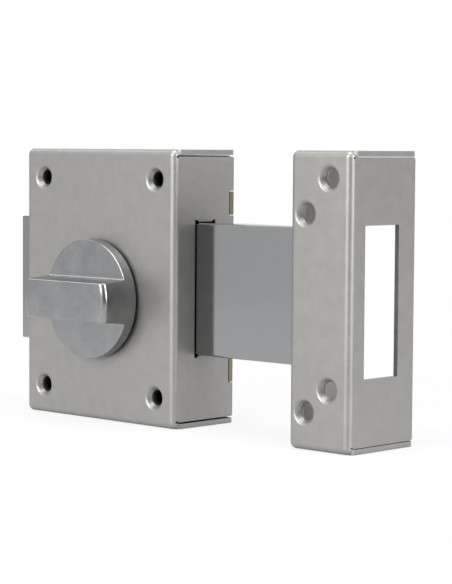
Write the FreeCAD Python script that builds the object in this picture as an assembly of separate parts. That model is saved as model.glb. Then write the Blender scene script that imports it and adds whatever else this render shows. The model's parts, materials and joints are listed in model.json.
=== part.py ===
import FreeCAD, Part
import math
import os

# Rim bolt lock: a folded steel case with a turn knob, a flat bolt that slides
# right through the case, and the folded strike box that takes the bolt.
# Millimetres. X runs the way the bolt is thrown, Z is up, and the room is at -Y.
# The origin is the centre of the four case screws, on the plane of the door.
# The bolt is drawn thrown, and every part is placed as it stands in that state.

# Case
case_width = 84.0
case_height = 105.0
case_depth = 32.0
sheet = 2.0                  # thickness of the folded sheet
fold_inside = 0.4            # inner radius of every fold
flange_gap = 0.6             # between a case wall's end and the flange over it
corner_relief = 0.9          # depth of the notch in each folded corner
flange_corner = 1.5          # rear corners of the top and bottom flanges
wall_corner = 0.8            # rear corners of the side walls

# Fixing screws of case and strike
screw_inset_x = 10.5         # from the case's side to a screw
screw_inset_z = 11.25        # from the case's top or bottom to a screw
screw_hole = 5.8
seat_diameter = 9.8          # mouth of a pressed screw seat
seat_depth = 2.1
sleeve_width = 8.5           # across the flats of the sleeves around the case screws

# Bolt
bolt_length = 150.0
bolt_height = 50.0
bolt_thickness = 10.0
bolt_reach = 49.5            # how far the thrown bolt stands out of the case
bolt_setback = 11.5          # from the case's front to the bolt's front
bolt_chamfer = 0.5
slot_clearance = 0.4         # around the bolt's thickness, in the case slots
slot_end_clearance = 0.7     # above and below the bolt, in the case slots
slot_ear = 1.0               # relief ears in the slot's corners
guide_clearance = 0.3

# Knob
knob_z = -5.2                # height of the knob's axis
knob_diameter = 46.0
disc_thickness = 4.8
knob_gap = 1.2               # between the case and the knob
grip_height = 12.0           # the grip's front above the disc's front
grip_root_width = 16.4
grip_front_width = 14.8
grip_edge = 1.0              # rounding of the grip's long edges
grip_cove = 1.2              # hollow rounding where grip meets disc
grip_end = 2.0               # softening of the grip's end edges
disc_edge = 0.6              # chamfer of the disc's front rim
spindle_diameter = 8.0
spindle_bite = 12.8          # how far the spindle goes into the knob
spindle_flat = 0.8           # depth of the spindle's flats
set_screw_diameter = 4.0
set_screw_inset = 0.5
set_screw_socket = 1.5       # depth of the screw's six-sided socket
bush_diameter = 12.0
bush_tail = 2.3              # how far the bush stands out behind the sheet
running_gap = 0.05           # radial gap of a shaft in its bore
axial_gap = 0.1              # play along a shaft

# Gears
gear_module = 1.5
pressure_angle = 25.0
lay_gear_teeth = 15
pinion_teeth = 12
gear_face = 4.6              # thickness of the two gears in front of the bolt
backlash = 0.16
knob_turn = 180.0            # turn of the knob, in degrees, for the full throw
stud_diameter = 6.0
stud_head_diameter = 9.0     # the head that keeps the lay gear on its stud
stud_head = 1.2
stud_collar = 10.0           # diameter of the sleeve behind the rack pinion
stud_offset = 12.4           # about how far the stud lies beside the knob's axis
pinion_hub = 12.0
pinion_key_flat = 1.0        # depth of the flats that drive the lay gear
circlip = 0.8
circlip_width = 2.0          # radial width of a circlip
circlip_gap = 3.2            # gap between a circlip's ends
groove_depth = 0.5
shaft_end = 0.4              # shaft left beyond its circlip

# Back plate
plate = 2.0
plate_clearance = 0.2        # around the plate, inside the case
tab_width = 11.6
tab_height = 33.0            # height of each tab's middle above the centre

# Guides, stop and spring
guide_sheet = 1.8
guide_length = 72.0
guide_lip = 4.0              # how far a lip laps over the bolt's face
pinion_room = 1.5            # from the gears' tips to the ends of the guides
tenon_width = 6.0            # lugs that are staked in the back plate
tenon_inset = 8.0            # from a strip's end to the middle of its lug
stop_pin_diameter = 6.0
stop_pin_x = 24.0
stop_pin_z = -10.0
stop_pin_depth = 5.0         # pressed length in the bolt
pin_clearance = 2.0          # from the pin's end to the back plate
stop_gap = 0.1
stop_height = 12.0
stop_clearance = 1.2         # between the bolt's back and the stop bracket
spring_sheet = 0.7
spring_width = 10.0
spring_z = 11.0
spring_span = 44.0
spring_foot = 12.0

# Strike
strike_width = 28.0
strike_height = 105.0
strike_depth = 35.0
strike_gap = 60.5            # from the case's side to the strike's side
window_height = 53.4
window_front = 8.0           # from the strike's front to its window
window_length = 18.4
open_side_height = 54.0      # opening in the side that faces the case
strike_flange_gap = 0.2      # between a strike wall's end and the flange over it
near_column = 7.4            # screw seats, from the side that faces the case
far_column = 10.0            # screw seats, from the far side
near_seats = (30.5, -39.0)   # heights of the seats in each column
far_seats = (43.0, -30.5)

# Planes and places worked out from the sizes above
case_front = -case_depth
bend_radius = sheet + fold_inside
side = case_width / 2
top = case_height / 2
sheet_back = case_front + sheet
plate_front = -plate
bolt_front = case_front + bolt_setback
bolt_back = bolt_front + bolt_thickness
bolt_right = side + bolt_reach
bolt_left = bolt_right - bolt_length
bolt_top = bolt_height / 2

disc_back = case_front - knob_gap
disc_front = disc_back - disc_thickness
grip_front = disc_front - grip_height

bush_back = sheet_back + bush_tail
gear_front = bush_back + axial_gap
gear_back = gear_front + gear_face

# The rack pinion's place in height is set by the bolt's lower edge. The knob gear
# has as many teeth as it takes to reach from the knob's axis to the stud.
lay_gear_radius = gear_module * lay_gear_teeth / 2
pinion_radius = gear_module * pinion_teeth / 2
tooth_pitch = math.pi * gear_module
tooth_root = 1.25 * gear_module      # depth of a tooth inside the pitch line
stud_z = -bolt_top + gear_module - pinion_radius
stud_drop = knob_z - stud_z
gear_span = math.hypot(stud_drop, stud_offset)
knob_gear_teeth = round(2 * gear_span / gear_module) - lay_gear_teeth
knob_gear_radius = gear_module * knob_gear_teeth / 2
stud_x = -math.sqrt((knob_gear_radius + lay_gear_radius) ** 2 - stud_drop ** 2)
gear_line = math.degrees(math.atan2(stud_z - knob_z, stud_x))
throw = (math.radians(knob_turn) * pinion_radius
         * knob_gear_teeth / lay_gear_teeth)

pinion_front = bolt_front - 2 * axial_gap
pinion_back = bolt_back + 2 * axial_gap

strike_left = side + strike_gap
strike_right = strike_left + strike_width
strike_front = -strike_depth

print("throw", round(throw, 3), "stud at", round(stud_x, 3), round(stud_z, 3),
      "knob gear teeth", knob_gear_teeth)


# Helpers
def vec(x, y, z):
    return FreeCAD.Vector(x, y, z)


def block(x, y, z):
    """A box from three pairs of limits."""
    low = vec(min(x), min(y), min(z))
    return Part.makeBox(abs(x[1] - x[0]), abs(y[1] - y[0]), abs(z[1] - z[0]), low)


def rod(x, z, radius, y_from, y_to):
    """A cylinder along Y."""
    low = min(y_from, y_to)
    return Part.makeCylinder(radius, abs(y_to - y_from), vec(x, low, z), vec(0, 1, 0))


def ring(x, z, outer, inner, y_from, y_to):
    """A plain ring about a Y axis."""
    hole = rod(x, z, inner, y_from - 1, y_to + 1)
    return rod(x, z, outer, y_from, y_to).cut(hole)


def prism(points, path):
    """A straight-sided outline, given as points, swept along a vector."""
    face = Part.Face(Part.makePolygon(points + points[:1]))
    return face.extrude(path)


def round_edges(shape, radius, wanted):
    """Fillet each edge whose middle passes the test."""
    edges = [edge for edge in shape.Edges if wanted(edge.CenterOfMass, edge)]
    return shape.makeFillet(radius, edges)


def edge_along(edge, axis):
    """True for a straight edge parallel to an axis."""
    start, end = edge.Vertexes[0].Point, edge.Vertexes[-1].Point
    run = end.sub(start)
    return run.Length > 0.01 and abs(run.normalize().dot(axis)) > 0.999


def joined(shapes):
    """Fuse a list of touching shapes into one clean solid."""
    result = shapes[0].fuse(shapes[1:])
    return result.removeSplitter()


def group(shapes):
    return Part.makeCompound(shapes)


# Folded box: a tray with rounded corners, then two side walls, and flanges over
# the walls' ends with a gap between them
def front_rim(front):
    return lambda p, e: p.y < front + 0.1


def folded_box(left, right, half_height, front, gap):
    wall_top = half_height - sheet - gap
    rear = front + bend_radius
    inside = (left + sheet, right - sheet)
    middle = half_height - sheet
    whole = block((left, right), (front, 0), (-half_height, half_height))
    folded = round_edges(whole, bend_radius, front_rim(front))
    outer = folded.common(round_edges(whole, bend_radius,
                                      lambda p, e: edge_along(e, vec(0, 1, 0))))
    inner = block(inside, (front + sheet, 0), (-middle, middle))
    inner = round_edges(inner, fold_inside, front_rim(front + sheet))
    front_tray = outer.cut(block((left - 1, right + 1), (rear, 1),
                                 (-half_height - 1, half_height + 1)))

    walls = block((left, right), (rear, 0), (-wall_top, wall_top))
    walls = round_edges(walls, wall_corner,
                        lambda p, e: p.y > -0.1 and edge_along(e, vec(1, 0, 0)))
    flanges = block((left, right), (rear, 0), (-half_height, half_height))
    flanges = round_edges(flanges, flange_corner,
                          lambda p, e: p.y > -0.1 and edge_along(e, vec(0, 0, 1)))
    flanges = flanges.cut(block((left - 1, right + 1), (rear - 1, 1), (-middle, middle)))

    box = joined([front_tray, walls, flanges]).cut(inner)
    box = box.cut(block(inside, (rear, 1), (-middle, middle)))
    reliefs = []
    for x in ((left - 1, left + sheet), (right - sheet, right + 1)):
        for end in (-1, 1):
            heights = (end * (wall_top - corner_relief), end * middle)
            reliefs.append(block(x, (rear - corner_relief, rear + corner_relief / 2), heights))
    return box.cut(group(reliefs))


# Pressed screw seat: a round hollow in the sheet with the hole in its floor
seat_radius = seat_diameter / 2


def seat_profile(front):
    """Half section of a pressed seat: dish, hole and the dimple's back."""
    hole = screw_hole / 2
    floor = front + seat_depth
    outline = [(seat_radius, front), (hole, floor), (hole, floor + sheet),
               (seat_radius, floor + sheet)]
    points = [vec(radius, y, 0) for radius, y in outline]
    return Part.Face(Part.makePolygon(points + points[:1]))


def add_seats(box, places, front):
    """Press a screw seat into the sheet at each (x, z) place."""
    holes = [rod(x, z, seat_radius, front - 1, front + sheet + 1) for x, z in places]
    box = box.cut(group(holes))
    seats = []
    for x, z in places:
        seat = seat_profile(front).revolve(vec(0, 0, 0), vec(0, 1, 0), 360)
        seat.translate(vec(x, 0, z))
        seats.append(seat)
    return joined([box] + seats)


# Case cover
case_screws = [(x, z) for x in (screw_inset_x - side, side - screw_inset_x)
               for z in (screw_inset_z - top, top - screw_inset_z)]
slot_low = bolt_front - slot_clearance
slot_high = bolt_back + slot_clearance
slot_end = bolt_top + slot_end_clearance


def bolt_slots():
    """A cutter for the slots in both side walls, with slanted ears in their corners."""
    middle = (slot_low + slot_high) / 2
    reach = middle - slot_low
    half = [(reach, slot_end + slot_ear), (reach - slot_ear, slot_end + slot_ear),
            (reach - 2 * slot_ear, slot_end)]
    outline = half + [(-y, z) for y, z in reversed(half)]
    outline += [(-y, -z) for y, z in outline]
    points = [vec(-side - 1, middle + y, z) for y, z in outline]
    return prism(points, vec(2 * side + 2, 0, 0))


def tab_places():
    """Side and height of the four tabs of the back plate."""
    return [(end, z) for end in (-1, 1) for z in (-tab_height, tab_height)]


def make_case_cover():
    cover = folded_box(-side, side, top, case_front, flange_gap)
    cover = add_seats(cover, case_screws, case_front)
    cover = cover.cut(rod(0, knob_z, bush_diameter / 2, case_front - 1, sheet_back + 1))
    cover = cover.cut(bolt_slots())
    for end, z in tab_places():
        reach = (end * (side - sheet - 1), end * (side + 1))
        half = tab_width / 2 + plate_clearance
        cover = cover.cut(block(reach, (plate_front, 1), (z - half, z + half)))
    return cover


# Strips stand on the back plate, and lugs on their edges are staked in its slots
def staked_lugs(places):
    """The lugs at each (x, limits of z) place, from the plate's front to its back."""
    return [block((x - tenon_width / 2, x + tenon_width / 2), (plate_front, 0), heights)
            for x, heights in places]


# Back plate
gear_reach = lay_gear_radius + gear_module + pinion_room
left_guide = (-guide_length / 2, stud_x - gear_reach)
right_guide = (stud_x + gear_reach, guide_length / 2)
bracket_left = stop_pin_x - throw - stop_pin_diameter / 2 - stop_gap - guide_sheet
bracket_right = stop_pin_x + stop_pin_diameter / 2 + stop_gap + guide_sheet


def inset_pair(limits):
    return (limits[0] + tenon_inset, limits[1] - tenon_inset)


guide_near = bolt_top + guide_clearance
guide_far = guide_near + guide_sheet
upper_guide = (-guide_length / 2, guide_length / 2)
stop_low = stop_pin_z - stop_height / 2
stop_web = (stop_low, stop_low + guide_sheet)
upper_lugs = [(x, (guide_near, guide_far)) for x in inset_pair(upper_guide)]
left_lugs = [(sum(left_guide) / 2, (-guide_far, -guide_near))]
right_lugs = [(x, (-guide_far, -guide_near)) for x in inset_pair(right_guide)]
stop_lugs = [(x, stop_web) for x in inset_pair((bracket_left, bracket_right))]
spring_left = -spring_span / 2 - spring_foot
spring_hook = (spring_left, spring_left + spring_sheet)
spring_heights = (spring_z - spring_width / 2, spring_z + spring_width / 2)


def make_back_plate():
    half_width = side - sheet - plate_clearance
    half_height = top - sheet - flange_gap
    body = block((-half_width, half_width), (plate_front, 0), (-half_height, half_height))
    tabs = []
    for end, z in tab_places():
        reach = (end * (half_width - 1), end * side)
        tabs.append(block(reach, (plate_front, 0), (z - tab_width / 2, z + tab_width / 2)))
    body = joined([body] + tabs)
    holes = [rod(x, z, screw_hole / 2, plate_front - 1, 1) for x, z in case_screws]
    holes.append(rod(stud_x, stud_z, stud_diameter / 2, plate_front - 1, 1))
    holes.append(block(spring_hook, (plate_front, 0), spring_heights))
    holes += staked_lugs(upper_lugs + left_lugs + right_lugs + stop_lugs)
    return body.cut(group(holes))


# Knob: a round disc with a bar grip across it, its ends in line with the disc's rim
def grip_section():
    """Section across the grip, on the plane x = 0."""
    root = grip_root_width / 2
    tip = grip_front_width / 2
    lean = (root - tip) / grip_height
    soft = math.cos(math.pi / 4)
    cove_top = disc_front - grip_cove
    edge_y = grip_front + grip_edge
    edge_z = tip + lean * grip_edge

    def at(y, z):
        return vec(0, y, knob_z + z)

    def half(sign):
        """From the disc to the grip's front, on one side."""
        foot = root + grip_cove
        cove_mid = at(disc_front - grip_cove * (1 - soft), sign * (foot - grip_cove * soft))
        edge_mid = at(grip_front + grip_edge * (1 - soft),
                      sign * (edge_z - grip_edge + grip_edge * soft))
        return [
            Part.LineSegment(at(disc_front + 1, sign * foot), at(disc_front, sign * foot)),
            Part.Arc(at(disc_front, sign * foot), cove_mid, at(cove_top, sign * root)),
            Part.LineSegment(at(cove_top, sign * root), at(edge_y, sign * edge_z)),
            Part.Arc(at(edge_y, sign * edge_z), edge_mid,
                     at(grip_front, sign * (edge_z - grip_edge))),
        ]

    foot = root + grip_cove
    flat = edge_z - grip_edge
    ends = [
        Part.LineSegment(at(grip_front, -flat), at(grip_front, flat)),
        Part.LineSegment(at(disc_front + 1, -foot), at(disc_front + 1, foot)),
    ]
    edges = [edge.toShape() for edge in half(1) + half(-1) + ends]
    return Part.Face(Part.Wire(Part.__sortEdges__(edges)))


def turned(outline):
    """A solid turned about the knob's axis from an outline of (radius, y) points."""
    points = [vec(radius, y, knob_z) for radius, y in outline]
    face = Part.Face(Part.makePolygon(points + points[:1]))
    return face.revolve(vec(0, 0, knob_z), vec(0, 1, 0), 360)


def make_knob():
    radius = knob_diameter / 2
    disc = turned([(0, disc_back), (radius, disc_back), (radius, disc_front + disc_edge),
                   (radius - disc_edge, disc_front), (0, disc_front)])
    bar = grip_section().extrude(vec(knob_diameter + 2, 0, 0))
    bar.translate(vec(-radius - 1, 0, 0))
    soft = grip_end * (1 - math.cos(math.pi / 4))
    envelope = turned([(0, disc_front + 1), (radius, disc_front + 1),
                       (radius, grip_front + grip_end), (radius - soft, grip_front + soft),
                       (radius - grip_end, grip_front), (0, grip_front)])
    body = joined([disc, bar.common(envelope)])
    body = body.cut(rod(0, knob_z, spindle_diameter / 2, disc_back - spindle_bite,
                        disc_back + 1))
    return body.cut(set_screw_bore())


set_screw_y = (grip_front + disc_front) / 2
set_screw_bottom = knob_z - grip_front_width / 2
set_screw_top = knob_z - spindle_diameter / 2 + spindle_flat


def set_screw_bore():
    return Part.makeCylinder(set_screw_diameter / 2, grip_root_width / 2,
                             vec(0, set_screw_y, knob_z - grip_root_width / 2 - 1),
                             vec(0, 0, 1))


def make_set_screw():
    low = set_screw_bottom + set_screw_inset
    screw = Part.makeCylinder(set_screw_diameter / 2, set_screw_top - low,
                              vec(0, set_screw_y, low), vec(0, 0, 1))
    socket_radius = set_screw_diameter / 4
    corners = []
    for step in range(6):
        turn = math.radians(60 * step)
        corners.append(vec(socket_radius * math.cos(turn),
                           set_screw_y + socket_radius * math.sin(turn), low - 1))
    return screw.cut(prism(corners, vec(0, 0, 1 + set_screw_socket)))


# Shafts with flats, and the matching bores
def flatted(x, z, radius, flat, y_from, y_to):
    """A round bar with a flat above and below."""
    bar = rod(x, z, radius, y_from, y_to)
    keep = radius - flat
    return bar.common(block((x - radius, x + radius), (y_from, y_to), (z - keep, z + keep)))


def make_spindle():
    radius = spindle_diameter / 2
    front = disc_back - spindle_bite
    round_part = rod(0, knob_z, radius, front, gear_front)
    flat_cut = block((-radius, radius), (front - 1, disc_back),
                     (knob_z - radius - 1, set_screw_top))
    round_part = round_part.cut(flat_cut)
    drive = flatted(0, knob_z, radius, spindle_flat, gear_front, gear_back)
    neck = rod(0, knob_z, radius - spindle_flat - groove_depth, gear_back,
               gear_back + circlip)
    end = rod(0, knob_z, radius - spindle_flat, gear_back + circlip,
              gear_back + circlip + shaft_end)
    return joined([round_part, drive, neck, end])


def make_circlip():
    """A sprung ring in the spindle's groove, with a gap on one side."""
    inner = spindle_diameter / 2 - spindle_flat - groove_depth
    outer = inner + circlip_width
    clip = ring(0, knob_z, outer, inner, gear_back, gear_back + circlip)
    gap = (knob_z - circlip_gap / 2, knob_z + circlip_gap / 2)
    return clip.cut(block((0, outer + 1), (gear_back - 1, gear_back + circlip + 1), gap))


# Toothed wheels with involute teeth, each flank two runs through three involute points
def tooth_half_angle(radius, teeth):
    """Half of a tooth's angle at a radius."""
    pitch_radius = gear_module * teeth / 2
    base = pitch_radius * math.cos(math.radians(pressure_angle))
    pressure = math.tan(math.radians(pressure_angle)) - math.radians(pressure_angle)
    roll = math.sqrt(max((radius / base) ** 2 - 1, 0))
    thickness = tooth_pitch / 2 - backlash
    return thickness / (2 * pitch_radius) + pressure - (roll - math.atan(roll))


def toothed_wheel(x, z, teeth, tooth_angle, y_front, y_back):
    """A spur wheel with one tooth centred on tooth_angle, in degrees from +X."""
    pitch_radius = gear_module * teeth / 2
    tip = pitch_radius + gear_module
    root = pitch_radius - tooth_root
    base = pitch_radius * math.cos(math.radians(pressure_angle))
    start = max(root + (tooth_root - gear_module) / 5, base)
    middle = (start + tip) / 2

    def at(radius, angle):
        return vec(x + radius * math.cos(angle), y_front, z + radius * math.sin(angle))

    low, mid, high = (tooth_half_angle(radius, teeth) for radius in (start, middle, tip))
    flank = [(root, low), (start, low), (middle, mid), (tip, high)]
    points = []
    for number in range(teeth):
        centre = math.radians(tooth_angle + 360 * number / teeth)
        points += [at(radius, centre - half) for radius, half in flank]
        points += [at(radius, centre + half) for radius, half in reversed(flank)]
    return prism(points, vec(0, y_back - y_front, 0))


def make_knob_gear():
    wheel = toothed_wheel(0, knob_z, knob_gear_teeth, gear_line, gear_front, gear_back)
    return wheel.cut(flatted(0, knob_z, spindle_diameter / 2, spindle_flat,
                             gear_front - 1, gear_back + 1))


def make_lay_gear():
    half_tooth = 180 / lay_gear_teeth
    wheel = toothed_wheel(stud_x, stud_z, lay_gear_teeth, gear_line + 180 + half_tooth,
                          gear_front, gear_back)
    return wheel.cut(flatted(stud_x, stud_z, pinion_hub / 2, pinion_key_flat,
                             gear_front - 1, gear_back + 1))


def make_rack_pinion():
    wheel = toothed_wheel(stud_x, stud_z, pinion_teeth, 90, pinion_front, pinion_back)
    hub = rod(stud_x, stud_z, pinion_hub / 2, gear_back, pinion_front)
    key = flatted(stud_x, stud_z, pinion_hub / 2, pinion_key_flat, gear_front, gear_back)
    body = joined([wheel, hub, key])
    return body.cut(rod(stud_x, stud_z, stud_diameter / 2 + running_gap,
                        gear_front - 1, pinion_back + 1))


def make_stud():
    seat = gear_front - axial_gap
    head = rod(stud_x, stud_z, stud_head_diameter / 2, seat - stud_head, seat)
    return joined([head, rod(stud_x, stud_z, stud_diameter / 2, seat, 0)])


# Bolt, with a rack cut in its lower edge and a stop pin in its back
rack_gaps = range(-1, round(throw / tooth_pitch) + 2)


def rack_gap(x):
    """One gap of the rack, from below the bolt up to the teeth's roots."""
    slope = math.tan(math.radians(pressure_angle))
    half = tooth_pitch / 4 + backlash / 2
    below = 1.0
    wide = half + (gear_module + below) * slope
    narrow = half - tooth_root * slope
    low = -bolt_top - below
    high = -bolt_top + gear_module + tooth_root
    corners = [vec(x - wide, bolt_front - 1, low), vec(x + wide, bolt_front - 1, low),
               vec(x + narrow, bolt_front - 1, high), vec(x - narrow, bolt_front - 1, high)]
    return prism(corners, vec(0, bolt_thickness + 2, 0))


def make_bolt():
    slab = block((bolt_left, bolt_right), (bolt_front, bolt_back), (-bolt_top, bolt_top))
    slab = slab.makeChamfer(bolt_chamfer, slab.Edges)
    slab = slab.cut(group([rack_gap(stud_x + tooth_pitch * n) for n in rack_gaps]))
    return slab.cut(rod(stop_pin_x, stop_pin_z, stop_pin_diameter / 2,
                        bolt_back - stop_pin_depth, bolt_back + 1))


def make_stop_pin():
    return rod(stop_pin_x, stop_pin_z, stop_pin_diameter / 2,
               bolt_back - stop_pin_depth, plate_front - pin_clearance)


# Guides: strips on edge, with a lip folded over the bolt's face
def make_guide(limits, sign, lugs):
    lip_back = bolt_front - guide_clearance
    lip_front = lip_back - guide_sheet
    outline = [(plate_front, guide_near), (lip_back, guide_near),
               (lip_back, guide_near - guide_lip), (lip_front, guide_near - guide_lip),
               (lip_front, guide_far), (plate_front, guide_far)]
    points = [vec(limits[0], y, sign * z) for y, z in outline]
    strip = prism(points, vec(limits[1] - limits[0], 0, 0))
    strip = round_edges(strip, guide_sheet,
                        lambda p, e: abs(p.y - lip_front) < 0.01
                        and abs(p.z - sign * guide_far) < 0.01)
    return joined([strip] + staked_lugs(lugs))


# Stop bracket: a strip on edge, its ends folded up into the stop pin's path
def make_stop_bracket():
    depth = (bolt_back + stop_clearance, plate_front)
    heights = (stop_low, stop_low + stop_height)
    web = block((bracket_left, bracket_right), depth, stop_web)
    left = block((bracket_left, bracket_left + guide_sheet), depth, heights)
    right = block((bracket_right - guide_sheet, bracket_right), depth, heights)
    body = joined([web, left, right])
    body = round_edges(body, guide_sheet, lambda p, e: abs(p.z - stop_low) < 0.01
                       and edge_along(e, vec(0, 1, 0)))
    return joined([body] + staked_lugs(stop_lugs))


# Leaf spring: a flat foot hooked in the back plate, then an arch whose crown presses
# on the bolt's back
def make_spring():
    half = spring_span / 2
    skin = plate_front - spring_sheet
    crown = bolt_back + axial_gap

    def at(x, y):
        return vec(x, y, spring_heights[0])

    edges = [
        Part.LineSegment(at(spring_hook[0], 0), at(spring_hook[0], skin)),
        Part.LineSegment(at(spring_hook[0], skin), at(-half, skin)),
        Part.Arc(at(-half, skin), at(0, crown), at(half, skin)),
        Part.LineSegment(at(half, skin), at(half, plate_front)),
        Part.LineSegment(at(half, plate_front), at(half - spring_sheet, plate_front)),
        Part.Arc(at(half - spring_sheet, plate_front), at(0, crown + spring_sheet),
                 at(spring_sheet - half, plate_front)),
        Part.LineSegment(at(spring_sheet - half, plate_front),
                         at(spring_hook[1], plate_front)),
        Part.LineSegment(at(spring_hook[1], plate_front), at(spring_hook[1], 0)),
        Part.LineSegment(at(spring_hook[1], 0), at(spring_hook[0], 0)),
    ]
    face = Part.Face(Part.Wire([edge.toShape() for edge in edges]))
    return face.extrude(vec(0, 0, spring_width))


# Strike box
strike_seats = ([(strike_left + near_column, z) for z in near_seats]
                + [(strike_right - far_column, z) for z in far_seats])


def make_strike():
    box = folded_box(strike_left, strike_right, strike_height / 2, strike_front,
                     strike_flange_gap)
    box = add_seats(box, strike_seats, strike_front)
    window = (strike_front + window_front, strike_front + window_front + window_length)
    half = window_height / 2
    box = box.cut(block((strike_right - sheet - 1, strike_right + 1), window, (-half, half)))
    half = open_side_height / 2
    return box.cut(block((strike_left - 1, strike_left + sheet + 1), (window[0], 1),
                         (-half, half)))


# Six-sided distance sleeves between the screw seats and the back plate
def make_sleeve(x, z):
    seat_back = case_front + seat_depth + sheet
    corner = sleeve_width / 2 / math.cos(math.pi / 6)
    outline = []
    for step in range(6):
        turn = math.radians(60 * step)
        outline.append(vec(x + corner * math.cos(turn), seat_back,
                           z + corner * math.sin(turn)))
    sleeve = prism(outline, vec(0, plate_front - seat_back, 0))
    return sleeve.cut(rod(x, z, screw_hole / 2, seat_back - 1, plate_front + 1))


parts = {
    "case_cover": make_case_cover(),
    "back_plate": make_back_plate(),
    "screw_sleeves": group([make_sleeve(x, z) for x, z in case_screws]),
    "knob": make_knob(),
    "knob_set_screw": make_set_screw(),
    "knob_spindle": make_spindle(),
    "knob_bush": ring(0, knob_z, bush_diameter / 2, spindle_diameter / 2 + running_gap,
                      case_front, bush_back),
    "knob_gear": make_knob_gear(),
    "spindle_circlip": make_circlip(),
    "gear_stud": make_stud(),
    "stud_sleeve": ring(stud_x, stud_z, stud_collar / 2, stud_diameter / 2,
                        pinion_back + axial_gap, plate_front),
    "lay_gear": make_lay_gear(),
    "rack_pinion": make_rack_pinion(),
    "slide_bolt": make_bolt(),
    "bolt_stop_pin": make_stop_pin(),
    "stop_bracket": make_stop_bracket(),
    "upper_bolt_guide": make_guide(upper_guide, 1, upper_lugs),
    "lower_left_guide": make_guide(left_guide, -1, left_lugs),
    "lower_right_guide": make_guide(right_guide, -1, right_lugs),
    "bolt_spring": make_spring(),
    "strike_box": make_strike(),
}

os.makedirs("parts", exist_ok=True)
for name, shape in parts.items():
    shape.exportStep(os.path.join("parts", name + ".step"))
    print(name, "solids", len(shape.Solids), "volume", round(shape.Volume, 1),
          "valid", shape.isValid())
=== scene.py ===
# %% [markdown]
# A rim bolt lock stands on a pale table: a folded steel case with a turn knob, a flat
# bolt that slides right through it, and a strike box that takes the bolt's end.
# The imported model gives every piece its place. This file gives the pieces their finish,
# and models five of them anew, because the light shows their soft edges.

import json
import math

import bmesh
import bpy
from mathutils import Matrix, Vector


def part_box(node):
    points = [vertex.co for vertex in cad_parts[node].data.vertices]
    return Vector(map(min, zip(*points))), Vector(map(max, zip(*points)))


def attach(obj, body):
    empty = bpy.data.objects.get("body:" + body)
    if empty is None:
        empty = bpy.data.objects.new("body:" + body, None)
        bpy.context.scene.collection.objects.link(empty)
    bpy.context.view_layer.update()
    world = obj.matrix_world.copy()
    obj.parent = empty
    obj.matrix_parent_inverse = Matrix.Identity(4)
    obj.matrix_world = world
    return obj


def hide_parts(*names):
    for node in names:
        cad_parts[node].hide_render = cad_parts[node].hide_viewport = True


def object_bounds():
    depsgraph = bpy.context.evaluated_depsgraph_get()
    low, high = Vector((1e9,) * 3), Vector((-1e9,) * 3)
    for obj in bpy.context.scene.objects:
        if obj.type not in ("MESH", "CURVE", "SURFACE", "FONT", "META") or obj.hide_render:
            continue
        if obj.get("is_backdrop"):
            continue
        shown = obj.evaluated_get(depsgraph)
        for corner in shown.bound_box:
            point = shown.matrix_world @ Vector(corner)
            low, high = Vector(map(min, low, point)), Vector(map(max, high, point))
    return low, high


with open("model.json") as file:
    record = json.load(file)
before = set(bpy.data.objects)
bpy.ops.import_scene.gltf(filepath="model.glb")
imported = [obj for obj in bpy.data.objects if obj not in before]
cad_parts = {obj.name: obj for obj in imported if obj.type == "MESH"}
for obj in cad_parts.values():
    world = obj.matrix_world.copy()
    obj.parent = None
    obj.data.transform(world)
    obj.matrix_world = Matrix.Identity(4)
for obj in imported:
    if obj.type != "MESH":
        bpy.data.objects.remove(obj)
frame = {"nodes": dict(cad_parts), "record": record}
cad_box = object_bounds()
mm = 0.001

# %% [markdown]
# The lock is seen from its right and a little from above, through a long lens. A camera
# is a place, a turn and a lens, and they were found by fitting the corners of the case
# and the strike box to the picture. The turn could be three angles. It is built from
# two directions instead, forward and right, because they are easier to read.

# %% Camera
image_width, image_height = 452, 584
focal_pixels = 2056.75
sensor_mm = 36.0
camera_place = Vector((586.1, -570.7, 52.9)) * mm
forward = Vector((-0.6909, 0.7196, -0.0695)).normalized()
right = Vector((0.7210, 0.6929, 0.0066))
right = (right - forward * right.dot(forward)).normalized()
camera_up = right.cross(forward)

camera_data = bpy.data.cameras.new("camera")
camera_data.sensor_width = sensor_mm
camera_data.lens = focal_pixels * sensor_mm / max(image_width, image_height)
camera_data.clip_start, camera_data.clip_end = 0.05, 30.0
camera = bpy.data.objects.new("camera", camera_data)
bpy.context.scene.collection.objects.link(camera)
turn = Matrix((right, camera_up, -forward)).transposed().to_4x4()
camera.matrix_world = Matrix.Translation(camera_place) @ turn
bpy.context.scene.camera = camera
print("lens", round(camera_data.lens, 2), "mm")

# %% [markdown]
# The room, the floor and the metals are all built from nodes. Nodes could be placed and
# joined one line at a time, but small helpers keep that short: a plain value is set on
# an input, and another node's output is linked to it. Three more helpers wrap the
# nodes that are used most, and give back their result.

# %% Helpers for nodes
def feed(tree, socket, value):
    """Set an input to a value, or link it to another node's output."""
    if isinstance(value, bpy.types.NodeSocket):
        tree.links.new(value, socket)
    else:
        socket.default_value = value


def add(tree, kind, *ordered, **named):
    """A new node. Settings and inputs are given by name, and inputs also in order."""
    node = tree.nodes.new(kind)
    inputs = {}
    for name, value in named.items():
        if hasattr(node, name):
            setattr(node, name, value)
        else:
            inputs[name.replace("_", " ")] = value
    for socket, value in zip(node.inputs, ordered):
        feed(tree, socket, value)
    for name, value in inputs.items():
        feed(tree, node.inputs[name], value)
    return node


def combine(tree, operation, a, b, clamp=False):
    """The result of a Math node."""
    node = add(tree, "ShaderNodeMath", a, b, operation=operation, use_clamp=clamp)
    return node.outputs["Value"]


def remap(tree, value, before, after, kind="LINEAR"):
    """The result of a Map Range node, from the range before to the range after."""
    node = add(tree, "ShaderNodeMapRange", interpolation_type=kind, Value=value,
               From_Min=before[0], From_Max=before[1], To_Min=after[0], To_Max=after[1])
    return node.outputs["Result"]


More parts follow.
